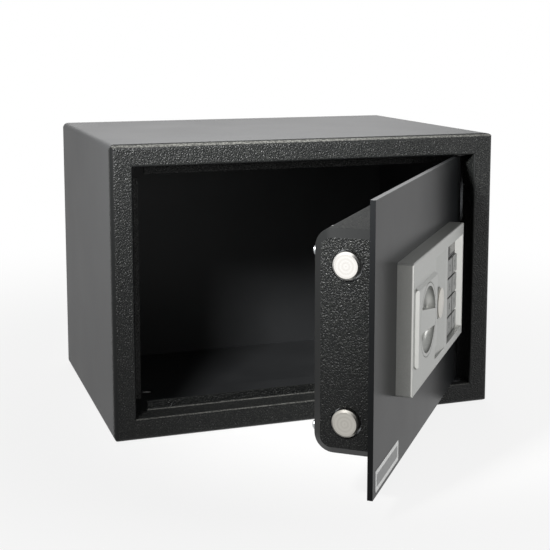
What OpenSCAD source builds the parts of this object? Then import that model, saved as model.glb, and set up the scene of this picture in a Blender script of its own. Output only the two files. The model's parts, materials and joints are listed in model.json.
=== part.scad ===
// Small electronic safe: steel cabinet, hinged door with a formed inner tray, two locking bolts driven
// by a turning knob through a cam and a carriage, a solenoid catch and a control panel with twelve keys.
// The origin is the middle of the cabinet's footprint on the floor.
// The door faces -Y and hangs on the right.

/* [Cabinet] */
// Width of the cabinet
body_w = 350; // [330:5:450]
// Depth of the cabinet
body_d = 250; // [200:5:400]
// Height of the cabinet
body_h = 250; // [240:5:350]
// Thickness of the cabinet's sheet
sheet = 2; // [1.5:0.5:2.5]
// Outer radius of the cabinet's bends
bend_r = 5; // [3:0.5:5]
// How far the back panel is set in from the cabinet's rear edge
back_inset = 1; // [0.5:0.5:4]
// Diameter of the anchor holes in the floor and the back
anchor_d = 10; // [8:1:14]
// Distance between the two anchor holes of each pair
anchor_pitch = 240; // [100:10:240]

/* [Front frame] */
// Width of the frame's face around the door
flange_w = 19; // [16:1:24]
// Depth of the turned-in return, from the face to the door stop
return_d = 20; // [18:1:28]
// Radius of the rolled edge round the doorway
edge_r = 2.5; // [1:0.5:3]
// Height of the door stop above the return
stop_h = 8; // [5:1:9]
// Length of the stop's foot, welded behind the return
stop_foot = 8; // [5:1:12]
// Radius of the weld fillet between return and stop
stop_fillet = 2; // [1:0.5:3]
// Open corner left between two stops
stop_notch = 13.5; // [12:0.5:20]
// Height and depth of the legs of the hinge bracket
bracket_leg = 14; // [10:1:14]
// Width of the hinge bracket
bracket_w = 22; // [18:1:22]
// Thickness of the hinge bracket
bracket_t = 3; // [2:0.5:4]

/* [Door] */
// Thickness of the door plate
door_t = 4; // [3:0.5:5]
// Gap round the closed door
door_gap = 1.5; // [1:0.25:2.5]
// How far the closed door lies behind the front
door_recess = 12; // [9:0.5:13]
// Distance of the pivot from the door's hinge edge
hinge_inset = 8; // [7:0.5:8]
// Angle at which the door stands open
open_angle = 51.5; // [0:0.5:100]
// Diameter of the hinge pins
pin_d = 6; // [5:0.5:7]
// Length of each pin welded into the door plate
pin_seat = 25; // [15:1:30]
// Length of each pin inside its bush
pin_reach = 8; // [5:1:9]
// Outer diameter of the hinge bush
bush_d = 10; // [9:0.5:11]
// Diameter of the hinge bush's collar
bush_collar_d = 14; // [12:0.5:15]
// Gap between the door plate's end and the collar
bush_play = 0.3; // [0.2:0.1:0.5]
// Radial running clearance of pins, bolts and shafts
run_clear = 0.05; // [0.02:0.01:0.1]

/* [Inner tray] */
// Thickness of the tray's sheet
tray_t = 1.5; // [1:0.25:2]
// Height of the tray
tray_h = 162; // [155:1:185]
// Depth of the tray behind the door plate
tray_d = 44.5; // [44:0.5:60]
// Distance from the door's free edge to the tray
tray_inset = 14; // [13:0.5:20]
// Distance from the door's hinge edge to the tray
tray_hinge_inset = 30; // [28:1:40]
// Radius of the tray's rear corners in side view
tray_r = 14; // [10:1:14]
// Bevel between the tray's end faces and its other sides
tray_bevel = 6; // [4:0.5:8]
// Diameter of the tray's screw shafts
tray_screw_d = 4; // [3:0.5:5]
// Distance of the tray screws from the door's middle height
tray_screw_z = 63.6; // [60:0.2:64]

/* [Bolt work] */
// Diameter of the locking bolts
bolt_d = 20; // [16:1:22]
// Length of the locking bolts
bolt_len = 31; // [28:1:33]
// Distance between the two bolts
bolt_pitch = 112; // [108:1:116]
// Distance of the bolts' axis behind the door's front face
bolt_depth = 23.6; // [22.6:0.2:26]
// How far the drawn-back bolts stand out of the tray
bolt_proud = 3.2; // [1:0.2:5]
// Travel of the bolts
bolt_travel = 15; // [10:0.5:16]
// Chamfer at a bolt's free end
bolt_chamfer = 1.5; // [0.5:0.25:2]
// Diameter of the bolts' holes in the tray
bolt_hole_d = 22.5; // [22.5:0.25:24]
// Thickness of the bolt guide brackets
guide_t = 2.5; // [2:0.25:3]
// Length of the guide brackets' feet
guide_foot = 17.5; // [14:0.5:18]
// Height of the guide brackets
guide_h = 36; // [32:1:38]
// Thickness of the carriage
carriage_t = 3; // [2:0.5:3]
// Height of the carriage's upright
carriage_h = 146; // [142:1:152]
// Width of the carriage's upright
carriage_w = 39; // [36:1:42]
// Height of the carriage's arm
arm_h = 48; // [46:1:54]
// Diameter of the carriage's guide posts
post_d = 6; // [5:0.5:7]
// Diameter of the screws that hold the bolts
bolt_screw_d = 6; // [5:1:8]

/* [Knob and cam] */
// Distance of the knob from the door's free edge
knob_inset = 104; // [103:0.5:106]
// Diameter of the knob
knob_d = 56; // [50:1:58]
// Depth of the knob's finger scoops
scoop_depth = 7; // [5:0.5:7.5]
// Width of the grip at its broad end
grip_wide = 18; // [14:1:20]
// Width of the grip at its narrow end
grip_narrow = 13; // [12:1:16]
// Tilt of the grip while the bolts are drawn back
grip_tilt = 8; // [0:1:20]
// Diameter of the spindle
spindle_d = 8; // [6:0.5:8]
// Diameter of the cam's drive pin
drive_pin_d = 5; // [4:0.5:6]

/* [Solenoid catch] */
// Diameter of the plunger
plunger_d = 6; // [5:0.5:6]
// Distance of the plunger from the door's hinge edge
plunger_inset = 162.5; // [160:0.5:164]
// Height of the solenoid's frame
solenoid_h = 30; // [26:1:32]
// Width of the solenoid's frame
solenoid_w = 22; // [20:1:24]
// Diameter of the coil
coil_d = 16.8; // [14:0.2:16.8]
// Free height of the plunger above the frame
plunger_rise = 12.7; // [12:0.1:14]
// Wire of the return spring
spring_wire = 0.7; // [0.5:0.1:0.9]
// Turns of the return spring
spring_turns = 5; // [3:1:6]

/* [Control panel] */
// Width of the panel
panel_w = 197; // [196:1:202]
// Height of the panel
panel_h = 100; // [100:1:110]
// Thickness of the panel
panel_t = 12.5; // [12.5:0.25:14]
// Wall of the panel
panel_wall = 2.5; // [2:0.25:3]
// Radius of the panel's corners
panel_r = 2; // [1.5:0.5:4]
// Radius of the panel's front edges
panel_edge_r = 1.5; // [1:0.5:3]
// Distance from the door's free edge to the panel
panel_inset = 63.5; // [62:0.5:66]
// Distance of the panel's middle above the door's middle
panel_drop = 0; // [-3:0.5:3]
// Width of the raised field round the knob
field_w = 69; // [66:1:72]
// Height of the raised field round the knob
field_h = 61; // [58:1:66]
// Height of the raised field above the panel
field_rise = 2.5; // [1:0.25:3]
// Width of the sloped channel between knob and keypad
channel_w = 38; // [36:1:38]
// Depth of the channel at its deep side
channel_depth = 3; // [1:0.5:3]

/* [Keypad] */
// Width of the keypad's recess at its floor
pad_w = 61.5; // [61:0.5:63]
// Height of the keypad's recess
pad_h = 82; // [79:1:82]
// Depth of the recess below the panel's face
pad_depth = 6; // [5.5:0.25:6.5]
// Run of the recess's sloped wall
pad_slope = 5; // [2:0.5:5]
// Spacing of the keys across
key_pitch_x = 20.5; // [20:0.25:20.5]
// Spacing of the keys up and down
key_pitch_z = 16.75; // [16.5:0.25:17]
// Width of a key
key_w = 18.6; // [15:0.1:18.7]
// Height of a key
key_h = 15; // [12:0.1:15.1]
// Height of a key above the recess's floor
key_rise = 2; // [1:0.25:2.5]
// Travel of a key
key_travel = 0.7; // [0.4:0.1:0.7]
// Gap round each key
key_gap = 0.3; // [0.3:0.05:0.4]
// Height of the indicator window
window_h = 10; // [8:1:11]

/* [Override lock] */
// Distance of the lock from the door's free edge
lock_inset = 160; // [159:0.5:162]
// Diameter of the lock's barrel
barrel_d = 18; // [16:0.5:18]
// Diameter of the lock's plug
plug_d = 10; // [9:0.5:12]
// Diameter of the cap over the lock
cap_d = 24; // [23:0.5:25]
// Height of the cap's dome
cap_rise = 2; // [1.75:0.25:4]

/* [Battery box and reset] */
// Diameter of a cell
cell_d = 14.2; // [13.5:0.1:14.4]
// Length of a cell
cell_len = 50; // [49:0.1:51]
// Spacing of the cells
cell_pitch = 15.5; // [15:0.1:16]
// Distance of the battery box's middle from the door's hinge edge
box_inset = 76.5; // [74:0.5:80]
// Diameter of the reset button
button_d = 8; // [6:0.5:9]
// Travel of the reset button
button_travel = 1.5; // [1:0.25:2]
// How far the reset button stands out of the tray
button_proud = 2; // [1.75:0.25:3]

/* [Hidden] */
$fn = 64;

// Cabinet
front_y = -body_d/2;
mid_z = body_h/2;
inner_r = max(bend_r - sheet, 0.5);
frame_seam = bend_r + 1;
open_w = body_w - 2*flange_w;
open_h = body_h - 2*flange_w;
open_top = body_h - flange_w;

// Door, as if closed
door_w = open_w - 2*door_gap;
door_h = open_h - 2*door_gap;
face_y = front_y + door_recess;
rear_y = face_y + door_t;
free_x = -door_w/2;
hinge_x = door_w/2;
pivot_x = hinge_x - hinge_inset;
pivot_y = face_y + door_t/2;
door_top = mid_z + door_h/2;
collar_t = door_gap - bush_play;

// Tray
tray_x0 = free_x + tray_inset;
tray_x1 = hinge_x - tray_hinge_inset;
tray_w = tray_x1 - tray_x0;
tray_rear_y = rear_y + tray_d;
tray_floor_y = tray_rear_y - tray_t;
tray_inner_bevel = round(100*(tray_bevel - tray_t*(2 - sqrt(2))))/100;
screw_head_d = tray_screw_d*1.8;
screw_head_h = tray_screw_d*0.6;
tray_post_inset = 12.5;
tray_post_x = tray_x1 - tray_post_inset;

// Bolt work
bolt_y = face_y + bolt_depth;
bolt_x0 = tray_x0 - bolt_proud;
bolt_x1 = bolt_x0 + bolt_len;
guide_x0 = tray_x0 + tray_bevel + 1;
tray_screw_x = guide_x0 + 4.5;
web_rear_y = bolt_y + bolt_d/2;
web_front_y = web_rear_y - carriage_t;
knob_x = free_x + knob_inset;
latch_x = hinge_x - plunger_inset;
latch_side_gap = 0.5;
arm_x1 = latch_x - plunger_d/2 - latch_side_gap + bolt_travel;
post_head_h = 2;
slot_clear = 0.2;
upright_post_inset = 11.7;
upright_post_x = bolt_x1 + upright_post_inset;
upright_post_z = 38;
slot_land = 3.5;
arm_post_x = arm_x1 - bolt_travel - post_d/2 - slot_land;
arm_post_drop = 13;
arm_post_z = mid_z - arm_post_drop;
arm_bottom_z = mid_z - arm_h/2;

// Cam: a quarter turn carries the drive pin over the top by the bolts' travel
cam_r = bolt_travel/sqrt(2);
cam_t = 6;
cam_clearance = 4.6;
cam_rear_y = web_front_y - cam_clearance;
drive_x = knob_x + bolt_travel/2;
drive_z = mid_z + bolt_travel/2;
drive_z1 = mid_z + cam_r;

// Solenoid
coil_y = web_rear_y - carriage_t/2;
latch_gap = 0.3;
plunger_top = arm_bottom_z - latch_gap;
solenoid_top = plunger_top - plunger_rise;
solenoid_bottom = solenoid_top - solenoid_h;
frame_t = 1.5;
coil_clear = 0.1;
frame_rear_y = coil_y + coil_d/2 + coil_clear + frame_t;
plunger_nose = 4.7;
collar_z = plunger_top - plunger_nose;

// Panel, measured from its lower free corner
panel_z0 = mid_z + panel_drop - panel_h/2;
knob_a = knob_inset - panel_inset;
knob_b = mid_z - panel_z0;
field_top = panel_t + field_rise;
cup_r = knob_d/2 + 0.5;
cup_floor = field_top - scoop_depth - 4;
knob_base = cup_floor + 0.5;
lock_a = lock_inset - panel_inset;
lock_b = knob_b;
pad_margin = 8.7;
pad_a = panel_w - pad_margin - pad_w;
pad_drop = 1;
pad_b = (panel_h - pad_h)/2 - pad_drop;
pad_floor = panel_t - pad_depth;
channel_rib = 9.8;
channel_floor_t = 2;
channel_base = panel_t - channel_depth - channel_floor_t;
channel_a = pad_a - channel_rib - channel_w;
skin = panel_t - panel_wall;
panel_post_r = 3;
panel_screw_d = 3;
panel_screw_reach = 6;
panel_post_a = 14;
panel_post_b = 3.5;

// Keypad stack, in heights above the door's face
frame_plate_t = 1.8;
frame_base = pad_floor - frame_plate_t;
board_t = 1.5;
board_base = 0.5;
board_top = board_base + board_t;
skirt_t = 0.7;
skirt_rim = 0.5;
skirt_top = frame_base - 0.3;
skirt_base = skirt_top - skirt_t;
switch_h = skirt_base - key_travel - 0.1 - board_top;
stem_r = 1.7;
stem_base = board_top + key_travel + 0.2;
window_b = pad_b + pad_h - 3 - window_h/2;
keys_b0 = pad_b + key_pitch_z/2;
keys_a0 = pad_a + pad_w/2 - key_pitch_x;

// Override lock
barrel_front = channel_base;
barrel_rear = -16;
barrel_flange = 2;
barrel_edge = lock_a + barrel_d/2 + barrel_flange;
nut_t = 3;
lever_len = 21.5;
lever_t = 2;
lever_rear = barrel_rear - lever_t - 0.3;

// The board starts midway between the lock and the keypad, with its posts at that end
board_left = (barrel_edge + pad_a)/2;
board_post_r = 2.5;
board_post_inset = board_post_r + 0.8;
board_posts_b = [pad_b + 18, pad_b + pad_h - 14];

// Battery box
box_x = hinge_x - box_inset;
box_wall = 2;
box_w = 4*cell_pitch + 2*box_wall + 2;
box_h = cell_len + 2*box_wall + 8;
box_depth = cell_d + box_wall + 2.5;
rim_w = 3;
rim_t = 1.5;
cover_t = 2;
cell_y = tray_floor_y - cell_d/2 - 0.6;

// Reset button
button_z = mid_z + 45;
button_y = rear_y + 22;
switch_size = 12;

steel_grey = "#3a3b3b";
inner_grey = "#2c2d2c";
door_grey = "#585a5a";
silver = "#969792";
nickel = "#c4c2ba";
zinc = "#a9abad";
brass = "#b79a5a";
plastic_black = "#1b1b1c";

// Everything on the door is drawn closed and turned open about the hinge pins
module hung() {
    translate([pivot_x, pivot_y, 0]) rotate([0, 0, open_angle])
        translate([-pivot_x, -pivot_y, 0]) children();
}

// The same thing at the top and, mirrored, at the bottom
module top_and_bottom() {
    children();
    translate([0, 0, body_h]) mirror([0, 0, 1]) children();
}

// A frame whose x runs right, y up and z out of the cabinet's front
module on_front() {
    translate([0, front_y, mid_z]) rotate([90, 0, 0]) children();
}

// The same on the closed door's face, from the panel's lower free corner
module on_panel() {
    translate([free_x + panel_inset, face_y, panel_z0]) rotate([90, 0, 0]) children();
}

// A shaft along +Y from y0 to y1
module shaft_y(x, y0, y1, z, r) {
    translate([x, y0, z]) rotate([-90, 0, 0]) cylinder(r = r, h = y1 - y0);
}

module rounded_rect(w, h, r) {
    square([w - 2*r, h], center = true);
    square([w, h - 2*r], center = true);
    for (x = [-1, 1], y = [-1, 1]) translate([x*(w/2 - r), y*(h/2 - r)]) circle(r);
}

// A slot from a to b along x
module slot(a, b, w) {
    translate([a, -w/2]) square([b - a, w]);
    for (x = [a, b]) translate([x, 0]) circle(w/2);
}

// Half-section with its two front corners rounded
module soft_profile(w, t, r) {
    translate([-w/2, 0]) square([w, t - r]);
    translate([-w/2 + r, 0]) square([w - 2*r, t]);
    for (s = [-1, 1]) translate([s*(w/2 - r), t - r]) circle(r);
}

// Half-section with its two front corners bevelled
module bevel_profile(w, t, run) {
    polygon([[-w/2, 0], [w/2, 0], [w/2 - run, t], [-w/2 + run, t]]);
}

// The two half-sections crossed, so that the front edge is shaped all round
module crossed(w, h) {
    intersection() {
        rotate([90, 0, 0]) linear_extrude(h + 2, center = true) children(0);
        rotate([90, 0, 90]) linear_extrude(w + 2, center = true) children(1);
    }
}

module soft_slab(w, h, t, corner_r, front_r) {
    intersection() {
        linear_extrude(t) rounded_rect(w, h, corner_r);
        crossed(w, h) {
            soft_profile(w, t, front_r);
            soft_profile(h, t, front_r);
        }
    }
}

// Half-section of the doorway, flaring at the rolled edge
module doorway_profile(w) {
    translate([-w/2, -return_d - 1]) square([w, return_d + 2]);
    difference() {
        translate([-w/2 - edge_r, -edge_r]) square([w + 2*edge_r, edge_r + 1]);
        for (s = [-1, 1]) translate([s*(w/2 + edge_r), -edge_r]) circle(edge_r);
    }
}

module cabinet_shell() {
    color(steel_grey) difference() {
        on_front() translate([0, 0, -body_d]) linear_extrude(body_d - frame_seam) difference() {
            rounded_rect(body_w, body_h, bend_r);
            rounded_rect(body_w - 2*sheet, body_h - 2*sheet, inner_r);
        }
        for (s = [-1, 1]) translate([s*anchor_pitch/2, 0, -1]) cylinder(d = anchor_d, h = sheet + 2);
    }
}

module back_panel() {
    back_y = body_d/2 - back_inset;
    color(steel_grey) difference() {
        on_front() translate([0, 0, -body_d + back_inset]) linear_extrude(sheet)
            rounded_rect(body_w - 2*sheet, body_h - 2*sheet, inner_r);
        for (s = [-1, 1]) shaft_y(s*anchor_pitch/2, back_y - sheet - 1, back_y + 1, mid_z, anchor_d/2);
    }
}

module return_tube(t) {
    translate([0, 0, -return_d]) linear_extrude(t)
        square([open_w + 2*sheet, open_h + 2*sheet], center = true);
}

module front_frame() {
    color(steel_grey) difference() {
        on_front() difference() {
            union() {
                translate([0, 0, -frame_seam]) soft_slab(body_w, body_h, frame_seam, bend_r, bend_r);
                return_tube(return_d - sheet);
            }
            difference() {
                translate([0, 0, -frame_seam - 1]) linear_extrude(frame_seam + 1 - sheet)
                    rounded_rect(body_w - 2*sheet, body_h - 2*sheet, inner_r);
                return_tube(return_d);
            }
            crossed(body_w, body_h) {
                doorway_profile(open_w);
                doorway_profile(open_h);
            }
        }
        top_and_bottom() translate([pivot_x, pivot_y, open_top - 1])
            cylinder(d = bush_d + 2*run_clear, h = sheet + 2);
    }
}

// Section of a stop: a lip behind the door's edge, a foot behind the return and a weld fillet
module stop_profile() {
    translate([-2*sheet, -return_d - sheet]) square([2*sheet + stop_h, sheet]);
    translate([-2*sheet, -return_d]) square([sheet, stop_foot]);
    difference() {
        translate([0, -return_d]) square(stop_fillet);
        translate([stop_fillet, stop_fillet - return_d]) circle(stop_fillet);
    }
}

// No stop on the hinge side, and the others leave that corner free for the door's edge to swing
module door_stops() {
    row_x0 = -open_w/2 + stop_notch;
    row_x1 = pivot_x - hinge_inset - 5;
    side_len = open_h - 2*(stop_notch - 2.5);
    color(steel_grey) on_front() {
        translate([-open_w/2, 0, 0]) rotate([90, 0, 0])
            linear_extrude(side_len, center = true) stop_profile();
        for (m = [0, 1]) mirror([0, m, 0]) translate([row_x0, -open_h/2, 0]) rotate([90, 0, 90])
            linear_extrude(row_x1 - row_x0) stop_profile();
    }
}

module hinge_brackets() {
    color(zinc) top_and_bottom() difference() {
        translate([pivot_x - bracket_w/2, front_y + sheet, open_top + sheet]) {
            cube([bracket_w, return_d + 1, bracket_t]);
            cube([bracket_w, bracket_t, bracket_leg]);
        }
        translate([pivot_x, pivot_y, open_top]) cylinder(d = bush_d + 2*run_clear, h = bracket_leg);
    }
}

module hinge_bushes() {
    color(steel_grey) top_and_bottom() translate([pivot_x, pivot_y, open_top]) difference() {
        union() {
            translate([0, 0, -collar_t]) cylinder(d = bush_collar_d, h = collar_t);
            cylinder(d = bush_d, h = pin_reach);
        }
        translate([0, 0, -collar_t - 1]) cylinder(r = pin_d/2 + run_clear, h = pin_reach + collar_t + 2);
    }
}

module pin_rod(r) {
    translate([pivot_x, pivot_y, door_top - pin_seat])
        cylinder(r = r, h = pin_seat + door_gap + pin_reach);
}

module door_plate() {
    color(door_grey) hung() difference() {
        translate([free_x, face_y, mid_z - door_h/2]) cube([door_w, door_t, door_h]);
        top_and_bottom() pin_rod(pin_d/2);
        shaft_y(knob_x, face_y - 1, rear_y + 1, mid_z, spindle_d/2 + 3);
        shaft_y(free_x + lock_inset, face_y - 1, rear_y + 1, mid_z, barrel_d/2 + 0.1);
        on_panel() panel_post_places() translate([0, 0, -door_t - 1])
            cylinder(r = panel_screw_d/2 + 0.2, h = door_t + 2);
        on_panel() translate([pad_a - 4, pad_b + 2, -door_t - 1]) linear_extrude(door_t + 2) slot(0, 14, 8);
    }
}

module hinge_pins() {
    color(door_grey) hung() top_and_bottom() pin_rod(pin_d/2);
}

// Side view of the tray: depth along x, height along y, rear corners rounded
module tray_side(h, d, r) {
    translate([0, -h/2]) square([d - r, h]);
    translate([0, -h/2 + r]) square([d, h - 2*r]);
    for (s = [-1, 1]) translate([d - r, s*(h/2 - r)]) circle(r);
}

// Pressed box: its side view drawn along x, with a bevel that runs round each end face
module tray_form(w, h, d, r, bevel) {
    translate([bevel, 0, 0]) rotate([90, 0, 90]) linear_extrude(w - 2*bevel) tray_side(h, d, r);
    for (end = [0, 1]) translate([end*w, 0, 0]) mirror([end, 0, 0]) {
        translate([0, d - r, 0]) rotate([90, 0, 0]) linear_extrude(d - r)
            polygon([[0, bevel - h/2], [bevel, -h/2], [bevel, h/2], [0, h/2 - bevel]]);
        translate([0, 0, r - h/2]) linear_extrude(h - 2*r)
            polygon([[0, 0], [bevel, 0], [bevel, d], [0, d - bevel]]);
        for (s = [-1, 1]) translate([0, d - r, s*(h/2 - r)]) rotate([0, 90, 0])
            cylinder(r1 = r - bevel, r2 = r, h = bevel);
    }
}

module door_tray() {
    color(inner_grey) hung() difference() {
        translate([tray_x0, rear_y, mid_z]) difference() {
            tray_form(tray_w, tray_h, tray_d, tray_r, tray_bevel);
            translate([tray_t, -1, 0])
                tray_form(tray_w - 2*tray_t, tray_h - 2*tray_t, tray_d - tray_t + 1, tray_r - tray_t,
                    tray_inner_bevel);
        }
        for (s = [-1, 1]) translate([tray_x0 - 1, bolt_y, mid_z + s*bolt_pitch/2]) rotate([0, 90, 0])
            cylinder(d = bolt_hole_d, h = tray_t + 2);
        tray_screw_places() shaft_y(0, tray_floor_y - 1, tray_rear_y + 1, 0, tray_screw_d/2 + 0.1);
        translate([box_x - box_w/2, tray_floor_y - 1, mid_z - box_h/2]) cube([box_w, tray_t + 2, box_h]);
        translate([tray_x1 - tray_t - 1, button_y, button_z]) rotate([0, 90, 0])
            cylinder(d = button_d + 0.6, h = tray_t + 2);
    }
}

module tray_screw_places() {
    for (x = [tray_screw_x, tray_post_x], s = [-1, 1]) translate([x, 0, mid_z + s*tray_screw_z]) children();
}

module pan_screw(d, len, head_d, head_h) {
    cylinder(d = d, h = len);
    translate([0, 0, len]) cylinder(d = head_d, h = head_h*0.55);
    translate([0, 0, len + head_h*0.55]) cylinder(d1 = head_d, d2 = head_d*0.7, h = head_h*0.45);
}

module tray_screws() {
    grip = 8;
    color(nickel) hung() tray_screw_places() translate([0, tray_rear_y - grip, 0]) rotate([-90, 0, 0])
        pan_screw(tray_screw_d, grip, screw_head_d, screw_head_h);
}

module tray_posts() {
    color(zinc) hung() for (s = [-1, 1]) difference() {
        shaft_y(tray_post_x, rear_y, tray_floor_y, mid_z + s*tray_screw_z, 5);
        shaft_y(tray_post_x, tray_floor_y - 10, tray_floor_y + 1, mid_z + s*tray_screw_z,
            tray_screw_d/2 + run_clear);
    }
}

// Channel brackets that carry the bolts and the tray's free side, cut back at the tray's round corners
module bolt_guides() {
    rear_h = guide_h/2 + tray_h/2 - tray_r - bolt_pitch/2;
    color(zinc) hung() top_and_bottom() translate([0, 0, mid_z + bolt_pitch/2]) difference() {
        translate([guide_x0, rear_y, -guide_h/2]) {
            cube([guide_t, tray_d - tray_r, guide_h]);
            cube([guide_foot, guide_t, guide_h]);
            cube([guide_t, tray_d - tray_t, rear_h]);
            translate([0, tray_d - tray_t - guide_t, 0]) cube([guide_foot, guide_t, rear_h]);
        }
        translate([guide_x0 - 1, bolt_y, 0]) rotate([0, 90, 0])
            cylinder(r = bolt_d/2 + run_clear, h = guide_t + 2);
        shaft_y(tray_screw_x, tray_floor_y - 10, tray_floor_y + 1, tray_screw_z - bolt_pitch/2,
            tray_screw_d/2 + run_clear);
    }
}

module post_places() {
    for (s = [-1, 1]) translate([upright_post_x, 0, mid_z + s*upright_post_z]) children();
    translate([arm_post_x, 0, arm_post_z]) children();
}

// Shouldered posts on which the carriage slides
module guide_posts() {
    color(zinc) hung() post_places() {
        shaft_y(0, rear_y, web_front_y - slot_clear, 0, post_d/2 + 2);
        shaft_y(0, rear_y, web_rear_y + slot_clear + 1, 0, post_d/2);
        shaft_y(0, web_rear_y + slot_clear, web_rear_y + slot_clear + post_head_h, 0, post_d/2 + 2);
    }
}

module spindle_bush() {
    color(brass) hung() difference() {
        union() {
            shaft_y(knob_x, face_y, rear_y, mid_z, spindle_d/2 + 3 - run_clear);
            shaft_y(knob_x, rear_y, rear_y + 1.5, mid_z, spindle_d/2 + 5);
        }
        shaft_y(knob_x, face_y - 1, rear_y + 3, mid_z, spindle_d/2 + run_clear);
    }
}

// Bent frame: two shelves from the door plate, joined behind the coil, with feet turned up and down
module solenoid_frame() {
    shelf_d = frame_rear_y - rear_y;
    color(zinc) hung() difference() {
        translate([latch_x - solenoid_w/2, rear_y, solenoid_bottom]) {
            cube([solenoid_w, shelf_d, frame_t]);
            translate([0, 0, solenoid_h - frame_t]) cube([solenoid_w, shelf_d, frame_t]);
            translate([0, shelf_d - frame_t, 0]) cube([solenoid_w, frame_t, solenoid_h]);
            translate([0, 0, -10]) cube([solenoid_w, frame_t, 11]);
            translate([0, 0, solenoid_h - 1]) cube([solenoid_w, frame_t, 6]);
        }
        translate([latch_x, coil_y, solenoid_top - frame_t - 1])
            cylinder(d = plunger_d + 0.8, h = frame_t + 2);
    }
}

module solenoid_coil() {
    coil_h = solenoid_h - 2*frame_t;
    color("#8a4f2d") hung() translate([latch_x, coil_y, solenoid_bottom + frame_t]) difference() {
        union() {
            cylinder(d = coil_d - 1.6, h = coil_h);
            for (z = [0, coil_h - 1.5]) translate([0, 0, z]) cylinder(d = coil_d, h = 1.5);
        }
        translate([0, 0, -1]) cylinder(d = plunger_d + 0.2, h = coil_h + 2);
    }
}

module panel_post_places() {
    for (a = [panel_post_a, panel_w - panel_post_a], b = [panel_post_b, panel_h - panel_post_b])
        translate([a, b, 0]) children();
}

// Raised field round the knob
module knob_field() {
    translate([knob_a, knob_b, 0]) intersection() {
        linear_extrude(field_top) rounded_rect(field_w, field_h, 4);
        translate([0, 0, panel_t - 1]) crossed(field_w, field_h) {
            bevel_profile(field_w + 1.6, field_rise + 1, 2.8);
            bevel_profile(field_h + 1.6, field_rise + 1, 2.8);
        }
    }
}

// Sloped channel beside the keypad, with a round boss left in it for the cap
module channel_cut() {
    difference() {
        translate([0, pad_b + pad_h, 0]) rotate([90, 0, 0]) linear_extrude(pad_h) polygon([
            [channel_a, panel_t - channel_depth], [channel_a + channel_w, panel_t],
            [channel_a + channel_w, panel_t + 1], [channel_a, panel_t + 1]]);
        translate([lock_a, lock_b, 0]) cylinder(r = cap_d/2 + 1, h = panel_t);
    }
}

// Well of the keypad, with one sloped wall
module pad_cut() {
    translate([0, pad_b + pad_h, 0]) rotate([90, 0, 0]) linear_extrude(pad_h) polygon([
        [pad_a, -1], [pad_a + pad_w, -1], [pad_a + pad_w, pad_floor],
        [pad_a + pad_w + pad_slope, panel_t], [pad_a + pad_w + pad_slope, panel_t + 1],
        [pad_a, panel_t + 1]]);
}

module panel_hollow() {
    inset = 2*panel_wall;
    translate([panel_w/2, panel_h/2, -1])
        soft_slab(panel_w - inset, panel_h - inset, skin + 1, max(panel_r - panel_wall, 0.5), 1);
}

// Moulded shell with posts, the knob's cup, the cap's collar and the keypad's well
module panel_shell() {
    color(silver) hung() on_panel() difference() {
        union() {
            difference() {
                translate([panel_w/2, panel_h/2, 0])
                    soft_slab(panel_w, panel_h, panel_t, panel_r, panel_edge_r);
                panel_hollow();
            }
            knob_field();
            translate([knob_a, knob_b, cup_floor - 2]) cylinder(r = cup_r + 2, h = panel_t - cup_floor + 2);
            translate([lock_a, lock_b, barrel_front + 1.5])
                cylinder(r = cap_d/2 + 1, h = panel_t - barrel_front - 1.5);
            translate([channel_a - 2, pad_b - 2, channel_base])
                cube([channel_w + 4, pad_h + 4, channel_depth + 1]);
            translate([pad_a - 2, pad_b - 1.2, pad_floor])
                cube([pad_w + pad_slope + 3.5, pad_h + 2.4, pad_depth - 1]);
            panel_post_places() cylinder(r = panel_post_r, h = panel_t - 2);
            for (b = board_posts_b) translate([board_left + board_post_inset, b, board_top])
                cylinder(r = board_post_r, h = panel_t - board_top - 2);
        }
        translate([knob_a, knob_b, cup_floor]) cylinder(r = cup_r, h = field_top);
        translate([knob_a, knob_b, -1]) cylinder(r = spindle_d/2 + 5, h = field_top);
        translate([lock_a, lock_b, barrel_front]) cylinder(r = barrel_d/2 + 1, h = panel_t);
        channel_cut();
        pad_cut();
        panel_post_places() translate([0, 0, -1])
            cylinder(r = panel_screw_d/2 + run_clear, h = panel_screw_reach + 2);
    }
}

module panel_screws() {
    color(zinc) hung() on_panel() panel_post_places() translate([0, 0, panel_screw_reach])
        rotate([180, 0, 0]) pan_screw(panel_screw_d, panel_screw_reach + door_t, 5.6, 2);
}

module key_places() {
    for (row = [0:3], column = [0:2])
        translate([keys_a0 + column*key_pitch_x, keys_b0 + (3 - row)*key_pitch_z, 0]) children();
}

// Dark grid that holds the keys in the well
module keypad_frame() {
    border = 2;
    plate_w = pad_w + 2*border;
    plate_h = pad_h + 2.4;
    color(plastic_black) hung() on_panel() difference() {
        union() {
            translate([pad_a - border, pad_b - 1.2, frame_base]) cube([plate_w, plate_h, frame_plate_t]);
            for (x = [pad_a - 0.9, pad_a + pad_w + 0.9], y = [pad_b + 0.6, pad_b + pad_h - 0.6])
                translate([x, y, board_top]) cylinder(r = 1.1, h = frame_base - board_top + 1);
        }
        key_places() translate([0, 0, frame_base - 1]) linear_extrude(frame_plate_t + 2)
            square([key_w + 2*key_gap, key_h + 2*key_gap], center = true);
        translate([pad_a + pad_w/2, window_b, frame_base - 1]) linear_extrude(frame_plate_t + 2)
            rounded_rect(pad_w - 5, window_h, 1);
    }
}

module indicator_window() {
    color("#2a1616") hung() on_panel() translate([pad_a + pad_w/2, window_b, frame_base])
        linear_extrude(frame_plate_t + 0.3) rounded_rect(pad_w - 5.2, window_h - 0.2, 0.9);
}

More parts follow.
